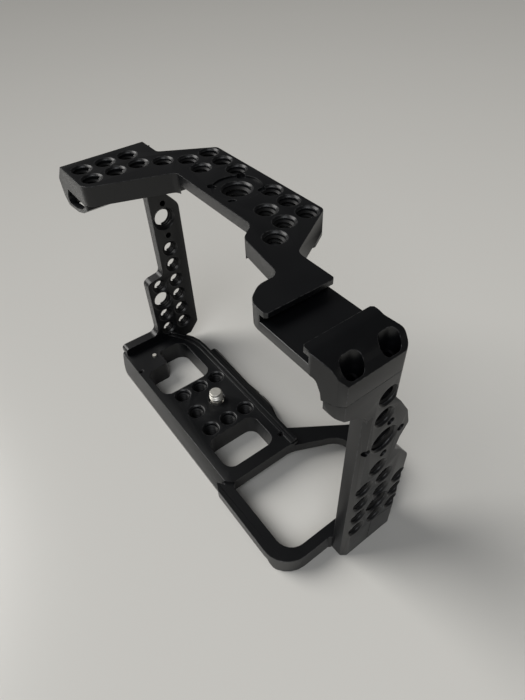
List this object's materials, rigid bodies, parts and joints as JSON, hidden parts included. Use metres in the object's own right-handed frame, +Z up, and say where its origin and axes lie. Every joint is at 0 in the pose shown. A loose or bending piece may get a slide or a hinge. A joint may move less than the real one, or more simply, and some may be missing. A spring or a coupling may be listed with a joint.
{
  "type": "camera cage",
  "caption": "Camera cage of bolted plates: top plate with arm and cold shoe, perforated side plates, base with captive camera screw and battery-door opening.",
  "frame": {"origin": "middle of the cage in plan, on the surface it stands on", "axes": "+X towards the grip side, +Y the way the lens points, +Z up"},
  "size_m": [0.1452, 0.0668, 0.1135],
  "materials": {
    "anodised": "black anodised, satin, bright worn edges at the holes",
    "pad": "matt, ribbed",
    "black_steel": "black oxide, satin",
    "steel": "stainless, turned"
  },
  "bodies": {
    "cage": {"top_plate": "anodised", "port_side_plate": "anodised", "base_plate": "anodised", "grip_side_plate": "anodised", "lens_side_foot": "anodised", "lens_foot_pad": "pad", "lens_foot_screws": "black_steel", "top_joint_screws": "black_steel", "port_top_screws": "black_steel", "port_base_screws": "black_steel", "grip_base_screws": "black_steel", "camera_screw_ring": "black_steel", "floor_set_screws": "black_steel", "top_joint_dowel": "steel", "port_top_dowel": "steel", "port_base_dowel": "steel", "grip_base_dowel": "steel", "locating_pin": "steel"},
    "screw_washer": {"camera_screw_washer": "steel"},
    "camera_screw": {"camera_screw": "steel"}
  },
  "joints": [
    {"name": "screw_lift", "type": "slide", "parent": "cage", "child": "screw_washer", "axis": [0, 0, 1], "range_m": [-0.00254, 0]},
    {"name": "screw_turn", "type": "hinge", "parent": "screw_washer", "child": "camera_screw", "pos_m": [-0.0156, -0.0079, 0.0104], "axis": [0, 0, 1], "continuous": true}
  ]
}
